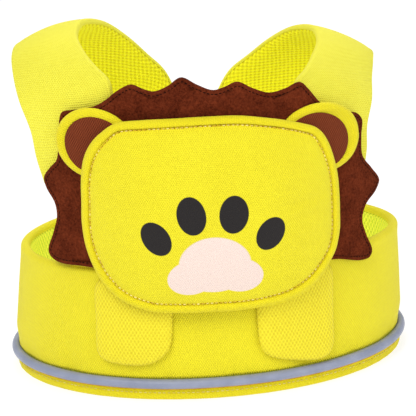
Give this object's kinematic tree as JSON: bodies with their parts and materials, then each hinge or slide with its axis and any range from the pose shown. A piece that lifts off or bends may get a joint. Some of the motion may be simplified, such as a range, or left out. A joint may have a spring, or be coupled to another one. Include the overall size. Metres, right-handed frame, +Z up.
{
  "type": "harness backpack",
  "caption": "Small child's harness backpack: padded chest band, two padded shoulder straps, and an eared flap over a shallow pocket, with a felt ruff behind it.",
  "frame": {"origin": "centre of the object's box in plan, at the height of the surface that the hem rests on", "axes": "+Z up through the head opening, the flap looks towards -Y, +X runs across the chest to the viewer's right"},
  "size_m": [0.2252, 0.1886, 0.1944],
  "materials": {
    "canvas_yellow": "woven canvas",
    "mesh_lime": "spacer mesh",
    "felt_brown": "pressed felt",
    "twill_brown": "twill",
    "reflective_grey": "reflective tape",
    "webbing_black": "woven webbing",
    "clasp_black": "moulded"
  },
  "bodies": {
    "root": {"band_cover": "canvas_yellow", "band_lining": "mesh_lime", "hem_binding": "canvas_yellow", "reflective_piping": "reflective_grey", "back_panel": "canvas_yellow", "back_panel_lining": "mesh_lime", "felt_ruff": "felt_brown", "pocket_pouch": "canvas_yellow", "front_flap": "canvas_yellow", "shoulder_strap_left": "canvas_yellow", "strap_lining_left": "mesh_lime", "ear_left": "canvas_yellow", "ear_lining_left": "twill_brown", "paw_tab_left": "canvas_yellow", "closure_webbing_left": "webbing_black", "shoulder_strap_right": "canvas_yellow", "strap_lining_right": "mesh_lime", "ear_right": "canvas_yellow", "ear_lining_right": "twill_brown", "paw_tab_right": "canvas_yellow", "closure_webbing_right": "webbing_black", "chest_clasp": "clasp_black"}
  },
  "joints": []
}
